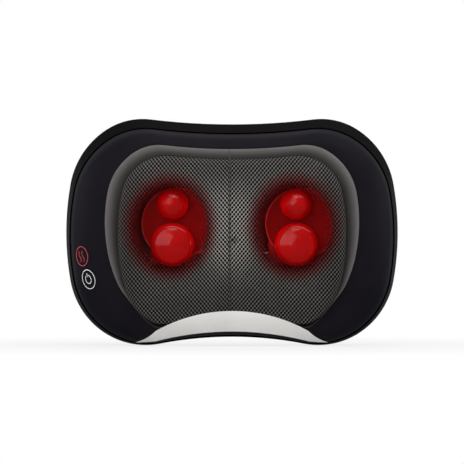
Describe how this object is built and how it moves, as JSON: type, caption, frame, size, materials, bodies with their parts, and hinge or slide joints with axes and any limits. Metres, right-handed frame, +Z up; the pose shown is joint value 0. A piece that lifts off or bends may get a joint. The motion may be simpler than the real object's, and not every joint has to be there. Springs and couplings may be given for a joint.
{
  "type": "shiatsu neck massager",
  "caption": "Upright cushioned massager with a mesh front, turning red kneading heads behind it, side push buttons for heat and power, and a light crescent trim at its foot.",
  "frame": {"origin": "under the middle of the body, on the surface that it stands on", "axes": "+X to the right as the mesh front is faced, +Y from the mesh front to the flat back, +Z up"},
  "size_m": [0.34, 0.117, 0.232],
  "materials": {
    "shell_black": "fine satin, near black",
    "bezel_black": "soft satin, black",
    "button_black": "soft satin, black, printed symbol",
    "mesh_grey": "grey knitted mesh with small round holes",
    "gusset_grey": "smooth grey stretch fabric",
    "foam_grey": "open-cell foam",
    "trim_pearl": "pearl, semi-gloss",
    "node_red": "red see-through, glossy",
    "disc_red": "dark red, glossy",
    "lamp_red": "clear red lamp",
    "chassis_steel": "dark zinc coating",
    "motor_steel": "drawn steel can",
    "shaft_steel": "ground steel",
    "screw_zinc": "bright zinc",
    "bronze": "sintered bronze",
    "nylon_white": "natural nylon",
    "inner_plastic": "moulded, dark grey",
    "board_green": "circuit board"
  },
  "bodies": {
    "casing": {"rear_shell": "shell_black", "front_bezel": "bezel_black", "mesh_cover": "mesh_grey", "side_gusset": "gusset_grey", "cushion_foam": "foam_grey", "cover_retainer": "bezel_black", "trim_crescent": "trim_pearl", "chassis_plate": "chassis_steel", "drive_motor": "motor_steel", "motor_clamp": "inner_plastic", "worm_bushes": "bronze", "led_lamps": "lamp_red", "control_board": "board_green", "board_standoffs": "bronze", "board_parts": "bezel_black", "button_board": "board_green", "dc_jack": "inner_plastic", "jack_nut": "screw_zinc", "housing_screws": "screw_zinc", "chassis_screws": "screw_zinc", "case_screws": "screw_zinc", "clamp_screws": "screw_zinc", "button_board_screws": "screw_zinc", "gear_case_left": "inner_plastic", "output_bushes_left": "bronze", "thrust_washer_left": "nylon_white", "led_board_left": "board_green", "gear_case_right": "inner_plastic", "output_bushes_right": "bronze", "thrust_washer_right": "nylon_white", "led_board_right": "board_green", "heat_switch": "bezel_black", "power_switch": "bezel_black"},
    "worm_drive": {"motor_shaft": "shaft_steel", "worm_left": "shaft_steel", "worm_right": "shaft_steel"},
    "rotor_left": {"worm_wheel_left": "nylon_white", "output_shaft_left": "shaft_steel", "rotor_disc_left": "disc_red", "node_pins_left": "shaft_steel", "node_washers_left": "nylon_white"},
    "rotor_right": {"worm_wheel_right": "nylon_white", "output_shaft_right": "shaft_steel", "rotor_disc_right": "disc_red", "node_pins_right": "shaft_steel", "node_washers_right": "nylon_white"},
    "kneader_big_left": {"big_node_left": "node_red"},
    "kneader_small_left": {"small_node_left": "node_red"},
    "kneader_big_right": {"big_node_right": "node_red"},
    "kneader_small_right": {"small_node_right": "node_red"},
    "heat_key": {"heat_button": "button_black", "heat_plunger": "nylon_white"},
    "power_key": {"power_button": "button_black", "power_plunger": "nylon_white"}
  },
  "joints": [
    {"name": "rotor_left_spin", "type": "hinge", "parent": "casing", "child": "rotor_left", "pos_m": [-0.0633, 0.0125, 0.1246], "axis": [0, 1, 0], "continuous": true},
    {"name": "rotor_right_spin", "type": "hinge", "parent": "casing", "child": "rotor_right", "pos_m": [0.0633, 0.0125, 0.1246], "axis": [0, 1, 0], "continuous": true},
    {"name": "worm_spin", "type": "hinge", "parent": "casing", "child": "worm_drive", "pos_m": [0, 0.0125, 0.09423], "axis": [1, 0, 0], "continuous": true},
    {"name": "big_node_left_spin", "type": "hinge", "parent": "rotor_left", "child": "kneader_big_left", "pos_m": [-0.0609, -0.04, 0.103], "axis": [0, 1, 0], "continuous": true},
    {"name": "small_node_left_spin", "type": "hinge", "parent": "rotor_left", "child": "kneader_small_left", "pos_m": [-0.0609, -0.04, 0.1446], "axis": [0, 1, 0], "continuous": true},
    {"name": "big_node_right_spin", "type": "hinge", "parent": "rotor_right", "child": "kneader_big_right", "pos_m": [0.0657, -0.04, 0.103], "axis": [0, 1, 0], "continuous": true},
    {"name": "small_node_right_spin", "type": "hinge", "parent": "rotor_right", "child": "kneader_small_right", "pos_m": [0.0657, -0.04, 0.1446], "axis": [0, 1, 0], "continuous": true},
    {"name": "heat_press", "type": "slide", "parent": "casing", "child": "heat_key", "axis": [0.5261, 0.8444, 0.1007], "range_m": [0, 0.0008], "stiffness_N_per_m": 600},
    {"name": "power_press", "type": "slide", "parent": "casing", "child": "power_key", "axis": [0.5261, 0.8444, 0.1007], "range_m": [0, 0.0008], "stiffness_N_per_m": 600}
  ],
  "couplings": [
    {"joint": "rotor_right_spin", "follows": "rotor_left_spin", "ratio": -1},
    {"joint": "worm_spin", "follows": "rotor_left_spin", "ratio": 30}
  ]
}
